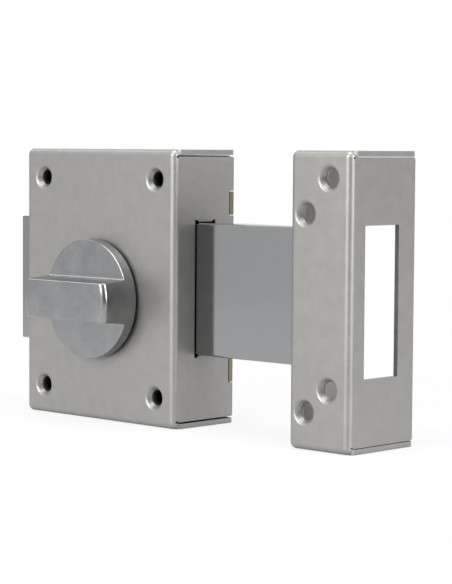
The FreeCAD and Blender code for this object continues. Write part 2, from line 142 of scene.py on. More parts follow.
def mix(tree, data_type, share, a, b):
    """The result of a Mix node: a where the share is 0, b where it is 1."""
    node = add(tree, "ShaderNodeMix", data_type=data_type, Factor=share, A=a, B=b)
    return node.outputs["Result"]


# %% [markdown]
# Metal shows what stands round it, so the room matters more than the lamps. A picture
# of a room could be wrapped round the scene, but a few nodes are enough: the room is
# pale, with a dark opening low on the right and a darker wall on the left, so that
# each flat face takes a tone of its own. Camera rays see plain white. The dark parts
# are fixed directions of the world, so they stay where they are when the camera moves.

# %% World
scene = bpy.context.scene
scene.view_settings.view_transform = "Standard"
diffuse_room, mirrored_room, white_room = 0.80, 0.97, 1.0
opening_azimuth, opening_elevation = 73, -24        # degrees
opening_edge, opening_core = 97, 14                 # degrees from its middle
opening_light = 0.15
left_wall_reach, left_wall_light = (-0.95, -0.58), 0.60


def direction(azimuth, elevation):
    """A direction from two angles. Azimuth 0 is straight in front of the case."""
    a, e = math.radians(azimuth), math.radians(elevation)
    return Vector((math.sin(a) * math.cos(e), -math.cos(a) * math.cos(e), math.sin(e)))


room = bpy.data.worlds.new("room")
scene.world = room
room.use_nodes = True
tree = room.node_tree
tree.nodes.clear()
looked_at = add(tree, "ShaderNodeTexCoord").outputs["Generated"]
closeness = add(tree, "ShaderNodeVectorMath", looked_at,
                direction(opening_azimuth, opening_elevation), operation="DOT_PRODUCT")
opening_range = [math.cos(math.radians(angle)) for angle in (opening_edge, opening_core)]
opening = remap(tree, closeness.outputs["Value"], opening_range, (1.0, opening_light),
                "SMOOTHSTEP")
sideways = add(tree, "ShaderNodeSeparateXYZ", looked_at).outputs["X"]
left_wall = remap(tree, sideways, left_wall_reach, (left_wall_light, 1.0), "SMOOTHSTEP")
rays = add(tree, "ShaderNodeLightPath").outputs
mirrored = combine(tree, "MAXIMUM", rays["Is Glossy Ray"], rays["Is Transmission Ray"])
level = remap(tree, mirrored, (0.0, 1.0), (diffuse_room, mirrored_room))
darker = combine(tree, "MULTIPLY", opening, left_wall)
shaded = combine(tree, "MULTIPLY", level, darker)
seen = mix(tree, "FLOAT", rays["Is Camera Ray"], shaded, white_room)
background = add(tree, "ShaderNodeBackground", Color=(1, 1, 1, 1), Strength=seen)
add(tree, "ShaderNodeOutputWorld", Surface=background.outputs["Background"])
print("room", diffuse_room, "opening", opening_light, "left wall", left_wall_light)

# %% [markdown]
# Four soft boxes light the lock, as in a light tent. Small lamps would draw hard
# shadows, so wide area lamps are used. The ones in front, on the right and above each
# draw a bright line along the folded edges, and the room's dark opening keeps these
# lines apart. The one on the left is weak, and only lifts the sides that face it.

# %% Lamps
object_middle = Vector((35, -15, 0)) * mm
lamp_distance = 1.2


def soft_box(name, azimuth, elevation, width, height, watts):
    """An area lamp aimed at the object."""
    lamp = bpy.data.lights.new(name, "AREA")
    lamp.shape = "RECTANGLE"
    lamp.size, lamp.size_y = width, height
    lamp.energy = watts
    holder = bpy.data.objects.new(name, lamp)
    scene.collection.objects.link(holder)
    away = direction(azimuth, elevation)
    aim = (-away).to_track_quat("-Z", "Y").to_matrix().to_4x4()
    holder.matrix_world = Matrix.Translation(object_middle + away * lamp_distance) @ aim
    print(name, watts, "W")


soft_box("front_box", 0, 22, 0.6, 0.6, 10.0)
soft_box("right_box", 92, 19, 0.45, 0.7, 9.5)
soft_box("top_box", 30, 80, 0.9, 0.9, 11.0)
soft_box("left_box", -85, 45, 0.3, 0.3, 0.8)

# %% [markdown]
# The floor is a pale disc that keeps the object's shadow. Plain paint would end in a
# grey horizon, so with its distance the disc fades into the white of the room. That
# goes for every ray that looks at it, the camera's own and those that metal mirrors.
# From below it is clear, so that the underside can be looked at.

# %% Floor disc
floor_height = cad_box[0].z - 0.1 * mm
floor_radius, floor_sides = 0.6, 64


def as_object(name, shape):
    """A finished bmesh as an object of the scene."""
    mesh = bpy.data.meshes.new(name)
    shape.to_mesh(mesh)
    shape.free()
    made = bpy.data.objects.new(name, mesh)
    scene.collection.objects.link(made)
    return made


shape = bmesh.new()
bmesh.ops.create_circle(shape, cap_ends=True, segments=floor_sides, radius=floor_radius,
                        matrix=Matrix.Translation((0, 0, floor_height)))
floor = as_object("floor", shape)
floor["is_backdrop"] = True
print("floor at", round(floor_height / mm, 2), "mm")

# %% Floor paint
floor_grey = 0.62
fade_distances, white_shares = (0.10, 0.45), (0.82, 1.0)

floor_paint = bpy.data.materials.new("floor_paint")
floor_paint.use_nodes = True
tree = floor_paint.node_tree
tree.nodes.clear()
matte = add(tree, "ShaderNodeBsdfDiffuse", Color=(floor_grey, floor_grey, floor_grey, 1))
glow = add(tree, "ShaderNodeEmission", Strength=1.0)
clear = add(tree, "ShaderNodeBsdfTransparent")
place = add(tree, "ShaderNodeTexCoord").outputs["Object"]
reach = add(tree, "ShaderNodeVectorMath", place, operation="LENGTH").outputs["Value"]
white_share = remap(tree, reach, fade_distances, white_shares, "SMOOTHSTEP")
rays = add(tree, "ShaderNodeLightPath").outputs
sight = combine(tree, "MAXIMUM", rays["Is Camera Ray"], rays["Is Glossy Ray"])
every_sight = combine(tree, "MAXIMUM", sight, rays["Is Transmission Ray"])
whiteness = combine(tree, "MULTIPLY", every_sight, white_share)
lit = add(tree, "ShaderNodeMixShader", whiteness, matte.outputs["BSDF"],
          glow.outputs["Emission"])
behind = add(tree, "ShaderNodeNewGeometry").outputs["Backfacing"]
one_sided = add(tree, "ShaderNodeMixShader", behind, lit.outputs["Shader"],
                clear.outputs["BSDF"])
add(tree, "ShaderNodeOutputMaterial", Surface=one_sided.outputs["Shader"])
floor.data.materials.append(floor_paint)
print("floor fades to white from", fade_distances[0], "to", fade_distances[1], "m")

# %% [markdown]
# The case cover is folded from one sheet of 2 mm steel. A block with rounded edges
# would do for the front, but the slots, the open back and the seams at the corners
# show the sheet's cut edges. So the sheet is drawn twice, as an outer and an inner
# skin around the same fold centres, and the two skins are bridged along every cut.
# Wires drawn in one plane become a face with holes by a triangle fill.

# %% Wires and faces
sheet = 2.0 * mm
bend = 2.4 * mm               # the outer radius of a fold
round_steps = 48
merge_distance = 0.002 * mm
hair = 0.001 * mm             # nearer than this counts as the same place


def wire(shape, points, closed=True):
    """A wire through the points: its corners and its edges."""
    verts = [shape.verts.new(point) for point in points]
    ends = verts[1:] + verts[:1] if closed else verts[1:]
    return verts, [shape.edges.new(pair) for pair in zip(verts, ends)]


def fill(shape, edges):
    """A flat face with holes, from its outline and the wires inside it."""
    bmesh.ops.triangle_fill(shape, use_beauty=True, edges=edges)


def round_corner(shape, vert, offset, segments):
    """Round one corner of a wire. The offset is measured back along its edges."""
    bmesh.ops.bevel(shape, geom=[vert], affect="VERTICES", offset=offset,
                    segments=segments, profile=0.5, material=-1)


def turned(shape, centre, steps):
    """Spin a half section once round an axis that runs from front to rear."""
    bmesh.ops.spin(shape, geom=shape.verts[:] + shape.edges[:], cent=centre,
                   axis=(0, 1, 0), dvec=(0, 0, 0), angle=math.tau, steps=steps,
                   use_merge=True)


print("sheet", sheet / mm, "mm, folded round", bend / mm, "mm")

# %% [markdown]
# A pressed screw seat has a soft mouth, a cone for the screw's head and a short bore. A
# bevel on a hole would give one slope only. But the seat is a shape of revolution, so
# its half section is drawn as a wire of four points with rounded corners, and a full
# spin turns it into the dish. The inner skin gets a section of its own, the dimple
# that the press leaves behind.

# %% Screw seats
# Each section is (radius, depth) in mm, and its corners are {point: offset in mm}
seat_sections = {
    "outer": ([(4.98, 0), (4.3, 0.1), (2.98, 1.95), (2.9, 2.3)],
              {1: 0.65, 2: 0.06}),
    "inner": ([(4.98, 2.0), (4.9, 2.2), (4.7, 4.1), (3.7, 4.1)],
              {1: 0.1, 2: 0.4}),
}
seat_corner_segments = 4


def take_in(shape, other):
    """Add a second bmesh to the first, and free it."""
    mesh = bpy.data.meshes.new("passing")
    other.to_mesh(mesh)
    other.free()
    shape.from_mesh(mesh)
    bpy.data.meshes.remove(mesh)


def seat(shape, x, z, front, skin):
    """Turn one seat about its screw's axis, and return its rim on the sheet."""
    section, corners = seat_sections[skin]
    dish = bmesh.new()
    points = [(x + radius * mm, front + depth * mm, z) for radius, depth in section]
    verts, _ = wire(dish, points, closed=False)
    for point, offset in corners.items():
        round_corner(dish, verts[point], offset * mm, seat_corner_segments)
    turned(dish, (x, 0, z), round_steps)
    before = set(shape.edges)
    take_in(shape, dish)
    rim = section[0][0] * mm - hair
    return [edge for edge in shape.edges if edge not in before and edge.is_boundary
            and all(math.hypot(v.co.x - x, v.co.z - z) > rim for v in edge.verts)]


print("seat mouth", 2 * seat_sections["outer"][0][0][0], "mm across")

# %% [markdown]
# One skin of a folded box starts with its flat front. Holes could be cut into a plane by
# a boolean, but a fill needs no cutting: it takes the border and the rims of the seats
# and holes, and leaves the holes open. The border has a point at the height of every
# corner notch, so that the folds have edges there.

# %% Flat front of a skin
notch = 0.5 * mm


def fold_lines(box):
    """Left, right and top ends of the flat front, the folds' depth, the notches' start."""
    wall_top = box["half_height"] - sheet - box["gap"]
    return (box["left"] + bend, box["right"] - bend, box["half_height"] - bend,
            box["front"] + bend, wall_top - notch)


def flat_front(shape, box, inset):
    """Draw the front with its seats and holes, and return the edges of its border."""
    left, right, top, _, notch_low = fold_lines(box)
    front = box["front"] + inset
    rings = []
    for x, z in box["seats"]:
        rings += seat(shape, x, z, box["front"], "inner" if inset else "outer")
    for x, z, radius in box["holes"]:
        turn = Matrix.Translation((x, front, z)) @ Matrix.Rotation(math.pi / 2, 4, "X")
        verts = bmesh.ops.create_circle(shape, segments=round_steps, radius=radius,
                                        matrix=turn)["verts"]
        rings += dict.fromkeys(edge for v in verts for edge in v.link_edges)
    heights = [-top, -notch_low, notch_low, top]
    border = ([(right, front, z) for z in heights]
              + [(left, front, z) for z in heights[::-1]])
    _, edges = wire(shape, border)
    fill(shape, edges + rings)
    return edges


# %% [markdown]
# A fold is a quarter round. It could be a bevel on a sharp box, but a spin of the
# front's border about the fold's own centre keeps the border's points, so that the
# notches fall where they belong. In each corner the arc at the end of a side fold is
# spun once more, and makes the small dome that closes the corner.

# %% Folds and corner domes
fold_steps = 8


def fold(shape, edges, centre, axis, degrees):
    """Spin edges through part of a turn."""
    verts = dict.fromkeys(v for edge in edges for v in edge.verts)
    bmesh.ops.spin(shape, geom=[*edges, *verts], cent=centre, axis=axis, dvec=(0, 0, 0),
                   angle=math.radians(degrees), steps=fold_steps, use_merge=False)


def fold_border(shape, box, border):
    """Fold the front's border: its edges run right side, top, left side, bottom."""
    left, right, top, depth, _ = fold_lines(box)
    for edges, x, degrees in ((border[0:3], right, 90), (border[4:7], left, -90)):
        fold(shape, edges, (x, depth, 0), (0, 0, 1), degrees)
    for edge, z, degrees in ((border[3], top, -90), (border[7], -top, 90)):
        fold(shape, [edge], (0, depth, z), (1, 0, 0), degrees)


def close_corners(shape, box):
    """Spin the end arc of each side fold about the corner's axis, as a dome."""
    left, right, top, depth, _ = fold_lines(box)
    for x, side in ((right, 1), (left, -1)):
        for z, end in ((top, 1), (-top, -1)):
            arc = [edge for edge in shape.edges if edge.is_boundary
                   and all(abs(v.co.z - z) < hair and v.co.y < depth + hair
                           and (v.co.x - x) * side > -hair for v in edge.verts)]
            fold(shape, arc, (x, 0, z), (0, 1, 0), -90 * side * end)


print("fold in", fold_steps, "steps")

# %% [markdown]
# The side walls carry the slot, the window and the notches for the tabs, and the
# flanges lie over the walls' ends. They could be extruded from the folds, but a flat
# outline with rounded corners shows better what the cut sheet looks like. A fine slit
# parts each flange from its wall, and the flange's end slopes back from it, because
# the light shows that seam as a dark line.

# %% Walls and flanges
slit = 0.04 * mm
wall_corner, flange_corner, corner_steps = 0.8 * mm, 0.8 * mm, 4
flange_slope = (0.9 * mm, 2.0 * mm)        # how far in, and how far to the rear


def quarter(centre, radius):
    """Points of a quarter circle in a plane, turning left from the first axis."""
    angles = [math.radians(90 * n / corner_steps) for n in range(corner_steps + 1)]
    return [(centre[0] + radius * math.cos(a), centre[1] + radius * math.sin(a))
            for a in angles]


def side_walls(shape, box, inset):
    """Fill both side walls from their loops: an outline first, then its holes."""
    for x, name in ((box["right"] - inset, "right_wall"),
                    (box["left"] + inset, "left_wall")):
        edges = []
        for loop in box[name]:
            edges += wire(shape, [(x, y, z) for y, z in loop])[1]
        fill(shape, edges)


def flanges(shape, box, inset):
    """Fill the upper and the lower flange."""
    depth = box["front"] + bend
    half = (box["right"] - box["left"]) / 2
    middle = (box["right"] + box["left"]) / 2
    edge = [(half - bend, depth), (half - bend, depth + slit),
            (half - flange_slope[0], depth + slit), (half, depth + flange_slope[1])]
    edge += quarter((half - flange_corner, -flange_corner), flange_corner)
    outline = edge + [(-x, y) for x, y in edge[::-1]]
    for end in (1, -1):
        z = end * (box["half_height"] - inset)
        fill(shape, wire(shape, [(middle + x, y, z) for x, y in outline])[1])


print("slit", slit / mm, "mm")

# %% [markdown]
# A little notch at each corner lets the real sheet fold without tearing. It could be
# cut out by a boolean, but the fold is made of narrow strips, so it is enough to leave
# out the last strips beside the corner. With that, one skin is complete.

# %% Notches, and one whole skin
notch_start = 67.5            # degrees round the fold


def open_notches(shape, box):
    """Leave out the faces of the side folds beside each corner."""
    left, right, top, depth, notch_low = fold_lines(box)
    spare = []
    for face in shape.faces:
        centre = face.calc_center_median()
        beyond = max(centre.x - right, left - centre.x)
        angle = math.degrees(math.atan2(beyond, depth - centre.y))
        if notch_low < abs(centre.z) < top and notch_start < angle < 90:
            spare.append(face)
    bmesh.ops.delete(shape, geom=spare, context="FACES")


def box_skin(box, inset):
    """The outer skin of a folded box for inset 0, the inner for the sheet's thickness."""
    shape = bmesh.new()
    fold_border(shape, box, flat_front(shape, box, inset))
    close_corners(shape, box)
    side_walls(shape, box, inset)
    flanges(shape, box, inset)
    bmesh.ops.remove_doubles(shape, verts=shape.verts[:], dist=merge_distance)
    open_notches(shape, box)
    return shape


# %% [markdown]
# A Solidify modifier could give the skin its thickness, but not the dimples behind the
# seats. So the inner skin is drawn by the same steps, and both have the same rings of
# open edges. Each outer ring is bridged to the inner ring whose middle is nearest.
# The edges are kept in dictionaries, not in sets, so that every run takes them in the
# same order.

# %% Two skins become a sheet
one_plane = math.radians(0.5)
rear_round, rear_segments = 0.8 * mm, 3


def open_rings(shape):
    """The open edges of a mesh, sorted into rings."""
    loose = dict.fromkeys(edge for edge in shape.edges if edge.is_boundary)
    rings = []
    while loose:
        ring, ends = [], [loose.popitem()[0]]
        while ends:
            edge = ends.pop()
            ring.append(edge)
            for vert in edge.verts:
                for other in vert.link_edges:
                    if other in loose:
                        del loose[other]
                        ends.append(other)
        rings.append(ring)
    return rings


def ring_middle(ring):
    """The mean place of a ring's corners."""
    return sum((v.co for edge in ring for v in edge.verts), Vector()) / (2 * len(ring))


def rear_edges(shape, box):
    """The flanges' edges along the rear, which the punch leaves round."""
    rim = box["half_height"] - sheet - merge_distance
    return [edge for edge in shape.edges
            if all(abs(v.co.y) < merge_distance and abs(v.co.z) > rim for v in edge.verts)
            and abs(edge.verts[0].co.z - edge.verts[1].co.z) < merge_distance]


def folded_sheet(box):
    """Both skins in one mesh, bridged along every cut edge."""
    shape = box_skin(box, 0.0)
    outer_rings = open_rings(shape)
    outer_edges = set(shape.edges)
    take_in(shape, box_skin(box, sheet))
    inner_rings = [ring for ring in open_rings(shape) if ring[0] not in outer_edges]
    for ring in outer_rings:
        middle = ring_middle(ring)
        partner = min(inner_rings, key=lambda other: (ring_middle(other) - middle).length)
        inner_rings.remove(partner)
        print("bridge", len(ring), "to", len(partner), "edges")
        bmesh.ops.bridge_loops(shape, edges=ring + partner)
    bmesh.ops.recalc_face_normals(shape, faces=shape.faces[:])
    bmesh.ops.dissolve_limit(shape, angle_limit=one_plane, verts=shape.verts[:],
                             edges=shape.edges[:])
    bmesh.ops.bevel(shape, geom=rear_edges(shape, box), affect="EDGES", offset=rear_round,
                    segments=rear_segments, profile=0.5, material=-1, clamp_overlap=True)
    return shape


# %% [markdown]
# A finished piece rides on a body of the model, so that it moves with the mechanism, and
# stands for the CAD node it replaces. Real metal has no perfectly sharp edge. Each edge
# could be bevelled by hand, but a Bevel modifier breaks all of them by a fine width,
# and weighted normals keep the flat faces flat in the light.

# %% Finished pieces and their edges
fine_segments, sharp_angle = 2, 40


def piece(name, shape, body, slot, *nodes):
    """A finished bmesh as an object that rides on a body and stands for CAD nodes."""
    made = as_object(name, shape)
    faces = made.data.polygons
    faces.foreach_set("use_smooth", [True] * len(faces))
    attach(made, body)
    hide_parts(*nodes)
    print(name, len(faces), "faces")
    return made


def fine_edges(made, width, angle=sharp_angle):
    """Break the edges that turn by more than the angle in degrees."""
    bevel = made.modifiers.new("broken_edges", "BEVEL")
    bevel.width = width
    bevel.segments = fine_segments
    bevel.limit_method = "ANGLE"
    bevel.angle_limit = math.radians(angle)
    bevel.use_clamp_overlap = False
    bevel.miter_outer = "MITER_ARC"
    normals = made.modifiers.new("flat_faces", "WEIGHTED_NORMAL")
    normals.weight = 100
    normals.keep_sharp = False


# %% [markdown]
# A side wall starts at its fold, goes round its notch and along its top, and comes down
# its rear edge with whatever is cut into it. It is the same above and below, so only
# the upper half is drawn and then mirrored.

# %% Outline of a side wall
def mirrored(points):
    """A half outline above z = 0 and its mirror image below, as one loop."""
    return points + [(y, -z) for y, z in points[::-1]]


def wall_outline(front, half_height, gap, rear_cuts):
    """A side wall's loop, as depth and height. The rear cuts belong to its upper half."""
    depth = front + bend
    top = half_height - sheet - gap
    start = [(depth, top - notch), (depth + notch / 2, top - notch),
             (depth + notch / 2, top)]
    corner = quarter((-wall_corner, top - wall_corner), wall_corner)[::-1]
    return mirrored(start + corner + rear_cuts)


# %% [markdown]
# The case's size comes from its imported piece's box. A slot in each side wall lets the
# bolt through. It could be a plain rectangle, but the small ears in its corners are
# the relief that a laser or a punch leaves, so that a square bolt passes. Two notches in
# each rear edge take the back plate's tabs. They are a little deeper than a tab is
# thick, so that a dark gap shows in front of it.

# %% Case cover
case_low, case_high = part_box("case_cover")
bolt_low, bolt_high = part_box("slide_bolt")
knob_low, knob_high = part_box("knob")
knob_z = (knob_low.z + knob_high.z) / 2
case_gap, bush_hole = 0.6 * mm, 6.0 * mm
screw_from_side, screw_from_end = 10.5 * mm, 11.25 * mm
tab_low, tab_high, tab_gap = 27.4 * mm, 36.9 * mm, 0.4 * mm
slot_play, slot_end_play = 0.4 * mm, 0.3 * mm
slot_ear, ear_height = 1.0 * mm, 0.8 * mm
sheet_edge = 0.15 * mm

tab_cut_depth = sheet + tab_gap
tab_cut = [(0, tab_high), (-tab_cut_depth, tab_high), (-tab_cut_depth, tab_low),
           (0, tab_low)]
slot_middle = (bolt_low.y + bolt_high.y) / 2
slot_half = (bolt_high.y - bolt_low.y) / 2 + slot_play
slot_end = bolt_high.z + slot_end_play
slot_top = [(-slot_half, slot_end + ear_height),
            (slot_ear - slot_half, slot_end + ear_height),
            (2 * slot_ear - slot_half, slot_end)]
slot_top += [(-y, z) for y, z in slot_top[::-1]]
slot = mirrored([(slot_middle + y, z) for y, z in slot_top])
case_wall = [wall_outline(case_low.y, case_high.z, case_gap, tab_cut), slot]
case_box = {
    "left": case_low.x, "right": case_high.x, "front": case_low.y,
    "half_height": case_high.z, "gap": case_gap,
    "seats": [(x * (case_high.x - screw_from_side), z * (case_high.z - screw_from_end))
              for x in (-1, 1) for z in (-1, 1)],
    "holes": [(0.0, knob_z, bush_hole)],
    "right_wall": case_wall, "left_wall": case_wall,
}
case_cover = piece("case_cover_sheet", folded_sheet(case_box), "root", "satin_paint",
                   "case_cover")
fine_edges(case_cover, sheet_edge)

# %% [markdown]
# The strike box is folded from the same sheet, so the same functions make it. Its right
# wall has the window that shows the bolt's end, and its left wall is open to the rear,
# so that the bolt slides in. Its four screw seats stand in two staggered columns.

# %% Strike box
strike_low, strike_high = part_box("strike_box")
strike_gap = 0.2 * mm
window_from_front, window_length, window_half = 8.0 * mm, 18.4 * mm, 26.7 * mm
mouth_half = 27.0 * mm
near_column, far_column = 7.4 * mm, 10.0 * mm
near_seats, far_seats = (30.5 * mm, -39.0 * mm), (43.0 * mm, -30.5 * mm)

window_front = strike_low.y + window_from_front
window_rear = window_front + window_length
window = mirrored([(window_front, window_half), (window_rear, window_half)])
mouth_cut = [(0, mouth_half), (window_front, mouth_half)]
strike_box = {
    "left": strike_low.x, "right": strike_high.x, "front": strike_low.y,
    "half_height": strike_high.z, "gap": strike_gap,
    "seats": [(strike_low.x + near_column, z) for z in near_seats]
             + [(strike_high.x - far_column, z) for z in far_seats],
    "holes": [],
    "right_wall": [wall_outline(strike_low.y, strike_high.z, strike_gap, []), window],
    "left_wall": [wall_outline(strike_low.y, strike_high.z, strike_gap, mouth_cut)],
}
strike = piece("strike_sheet", folded_sheet(strike_box), "root", "satin_paint",
               "strike_box")
fine_edges(strike, sheet_edge)

# %% [markdown]
# The back plate closes the case from behind, and four tabs on its sides rest in notches
# of the case's walls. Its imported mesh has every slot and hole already, so it isn't
# drawn again. A merged copy is taken, and only its tabs and its upper and lower edges
# are moved a little, to where the picture shows them.

# %% Back plate
plate_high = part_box("back_plate")[1]
plate_play, tab_play = 0.2 * mm, 0.3 * mm
tab_zone_low, tab_zone_width = 26.0 * mm, 3.0 * mm
near = 0.01 * mm              # nearer than this counts as the same corner


def merged_copy(node):
    """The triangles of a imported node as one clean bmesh."""
    shape = bmesh.new()
    shape.from_mesh(frame["nodes"][node].data)
    shape.transform(frame["nodes"][node].matrix_world)
    bmesh.ops.remove_doubles(shape, verts=shape.verts[:], dist=merge_distance)
    bmesh.ops.dissolve_limit(shape, angle_limit=one_plane, verts=shape.verts[:],
                             edges=shape.edges[:])
    return shape


shape = merged_copy("back_plate")
plate_top = case_high.z - sheet - plate_play
tab_top, tab_foot = tab_high - tab_play, tab_low + tab_play
for vert in shape.verts:
    height = abs(vert.co.z)
    if height > plate_high.z - near:
        vert.co.z = math.copysign(plate_top, vert.co.z)
    elif height > tab_zone_low and abs(vert.co.x) > plate_high.x - tab_zone_width:
        side = tab_top if height > (tab_low + tab_high) / 2 else tab_foot
        vert.co.z = math.copysign(side, vert.co.z)
plate = piece("back_plate_sheet", shape, "root", "yellow_zinc", "back_plate")
fine_edges(plate, sheet_edge)

# %% [markdown]
# The bolt is a flat steel slab with its rack cut in the lower edge. The teeth could be
# drawn here again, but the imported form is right, so it is copied as well, and only its
# sharp edges are broken.

# %% Bolt
bolt_edge = 0.25 * mm
bolt = piece("bolt_slab", merged_copy("slide_bolt"), "bolt", "brushed_bolt_steel",
             "slide_bolt")
fine_edges(bolt, bolt_edge)

# %% [markdown]
# The knob is cast: a round disc with a bar grip whose ends follow the disc's rim. Disc
# and grip could be two shapes joined, but then their ends wouldn't match. So a drum as
# high as the grip is turned first. Its half section is a wire with a small round at
# the back and a larger one in front, where the grip's ends are worn soft.

# %% Knob drum
knob_radius = (knob_high.x - knob_low.x) / 2
back_rim, back_rim_segments = 0.5 * mm, 3
grip_end, grip_end_segments = 2.4 * mm, 8
drum_steps = 120

drum_shape = bmesh.new()
back, front = knob_high.y, knob_low.y
section = [(0, back), (knob_radius, back), (knob_radius, front), (0, front)]
corners, _ = wire(drum_shape, [(0, y, knob_z + radius) for radius, y in section],
                  closed=False)
round_corner(drum_shape, corners[1], back_rim, back_rim_segments)
round_corner(drum_shape, corners[2], grip_end, grip_end_segments)
turned(drum_shape, (0, 0, knob_z), drum_steps)
bmesh.ops.remove_doubles(drum_shape, verts=drum_shape.verts[:], dist=merge_distance)
bmesh.ops.recalc_face_normals(drum_shape, faces=drum_shape.faces[:])
drum = as_object("drum", drum_shape)
print("drum", len(drum.data.polygons), "faces")

# %% [markdown]
# Then a tool takes away what isn't grip, from above and from below, as a milling cutter
# would. Its section follows the grip's side: along the disc, round the hollow foot, up
# the side, and round the long edge. The section is drawn as a wire, its corners are
# rounded, and the face is pushed across the whole drum. Two drills make the bores for
# the spindle and the set screw.

# %% Cutters for the knob
disc_thickness = 4.8 * mm
disc_front = knob_high.y - disc_thickness
grip_root, grip_tip = 8.2 * mm, 7.4 * mm      # half widths at the disc and at the front
grip_cove, grip_edge, grip_segments = 1.15 * mm, 0.95 * mm, 6
far, above = 30 * mm, 6 * mm                  # how far the tools stand out
lift = 0.35 * mm                              # how much they leave the grip's front
spindle_radius, spindle_bite = 4.0 * mm, 12.8 * mm
set_screw_radius = 2.0 * mm


def grip_cutter(shape, end):
    """The block to take away above the grip for end 1, and below it for end -1."""
    outline = [(far, disc_front), (grip_root, disc_front), (grip_tip, front),
               (grip_tip / 2, front - lift), (grip_tip / 2, front - above),
               (far, front - above)]
    verts, _ = wire(shape, [(-far, y, knob_z + end * z) for z, y in outline])
    round_corner(shape, verts[1], grip_cove, grip_segments)
    round_corner(shape, verts[2], grip_edge, grip_segments)
    loop = [edge for edge in shape.edges if edge.is_wire]
    face = bmesh.ops.contextual_create(shape, geom=loop)["faces"][0]
    moved = bmesh.ops.extrude_face_region(shape, geom=[face])["geom"]
    verts = [part for part in moved if isinstance(part, bmesh.types.BMVert)]
    bmesh.ops.translate(shape, verts=verts, vec=(2 * far, 0, 0))


def drill(shape, radius, start, end):
    """A round tool from one point to another."""
    turn = (end - start).to_track_quat("Z", "Y").to_matrix().to_4x4()
    bmesh.ops.create_cone(shape, cap_ends=True, segments=round_steps, radius1=radius,
                          radius2=radius, depth=(end - start).length,
                          matrix=Matrix.Translation((start + end) / 2) @ turn)


cutter_shape = bmesh.new()
for end in (1, -1):
    grip_cutter(cutter_shape, end)
drill(cutter_shape, spindle_radius, Vector((0, back - spindle_bite, knob_z)),
      Vector((0, back + above, knob_z)))
screw_depth = (disc_front + front) / 2
drill(cutter_shape, set_screw_radius, Vector((0, screw_depth, knob_z - far)),
      Vector((0, screw_depth, knob_z - spindle_radius + mm)))
bmesh.ops.recalc_face_normals(cutter_shape, faces=cutter_shape.faces[:])
cutter = as_object("cutter", cutter_shape)
print("cutters", len(cutter.data.polygons), "faces")

# %% [markdown]
# An exact Boolean modifier takes the cutters from the drum. It leaves the corners and
# faces in an order that changes from run to run, and the steps after it would give a
# slightly different mesh each time. So its result is read back sorted.

# %% Carving the knob
def in_order(mesh):
    """A mesh as a bmesh, with its corners and faces sorted by their places."""
    places = sorted(mesh.vertices, key=lambda vert: tuple(vert.co))
    rank = {vert.index: n for n, vert in enumerate(places)}
    loops = []
    for face in mesh.polygons:
        loop = [rank[n] for n in face.vertices]
        low = loop.index(min(loop))
        loops.append(loop[low:] + loop[:low])
    shape = bmesh.new()
    corners = [shape.verts.new(vert.co) for vert in places]
    for loop in sorted(loops):
        shape.faces.new([corners[n] for n in loop])
    shape.normal_update()
    return shape


def carved(drum, cutter):
    """The drum less the cutter, as a new bmesh. Both objects are removed."""
    cut = drum.modifiers.new("cut", "BOOLEAN")
    cut.operation, cut.solver, cut.object = "DIFFERENCE", "EXACT", cutter
    graph = bpy.context.evaluated_depsgraph_get()
    shape = in_order(drum.evaluated_get(graph).to_mesh())
    for spent in (drum, cutter):
        mesh = spent.data
        bpy.data.objects.remove(spent)
        bpy.data.meshes.remove(mesh)
    return shape


casting = carved(drum, cutter)
bmesh.ops.remove_doubles(casting, verts=casting.verts[:], dist=near)
bmesh.ops.dissolve_limit(casting, angle_limit=one_plane, verts=casting.verts[:],
                         edges=casting.edges[:])
print("casting", len(casting.faces), "faces")

# %% [markdown]
# The disc's front rim is softer than the other edges, because hands and cloths touch it
# most. A modifier would bevel every edge by the same width, so the rim's edges are
# picked out and bevelled first, and the modifier breaks the rest.

# %% Knob
disc_rim, disc_rim_segments = 0.4 * mm, 3
rim_band = 0.05 * mm
rim_angle = 1.0                               # radians between the rim's two faces
knob_edge, knob_sharp_angle = 0.2 * mm, 35


def on_rim(vert):
    """True on the disc's front rim."""
    reach = math.hypot(vert.co.x, vert.co.z - knob_z)
    return reach > knob_radius - rim_band and abs(vert.co.y - disc_front) < near


rim = [edge for edge in casting.edges if all(on_rim(v) for v in edge.verts)
       and edge.calc_face_angle(0) > rim_angle]
bmesh.ops.bevel(casting, geom=rim, affect="EDGES", offset=disc_rim,
                segments=disc_rim_segments, profile=0.5, material=-1, clamp_overlap=True)
print("rim edges", len(rim), "open edges",
      sum(1 for edge in casting.edges if not edge.is_manifold))
knob = piece("turn_knob", casting, "knob", "satin_cast_metal", "knob")
fine_edges(knob, knob_edge, knob_sharp_angle)

# %% [markdown]
# Finishes come next. The metals share five effects, so each effect is built once as a
# node group. Three are noise: a fine grain, slow clouds, and long streaks along the
# bolt. A picture could be painted for them, but noise on object coordinates needs no
# unwrapping and looks the same from all sides. A group puts out plain values only, and
# each material decides what they do.

# %% Noise effects
noise_roughness, noise_middle = 0.55, 0.5


def effect(name, output, inputs):
    """An empty node group with float sockets, and its two ends."""
    group = bpy.data.node_groups.new(name, "ShaderNodeTree")
    for title, value in inputs.items():
        socket = group.interface.new_socket(title, in_out="INPUT",
                                            socket_type="NodeSocketFloat")
        socket.default_value = value
    group.interface.new_socket(output, in_out="OUTPUT", socket_type="NodeSocketFloat")
    start, end = group.nodes.new("NodeGroupInput"), group.nodes.new("NodeGroupOutput")
    return group, start.outputs, end.inputs


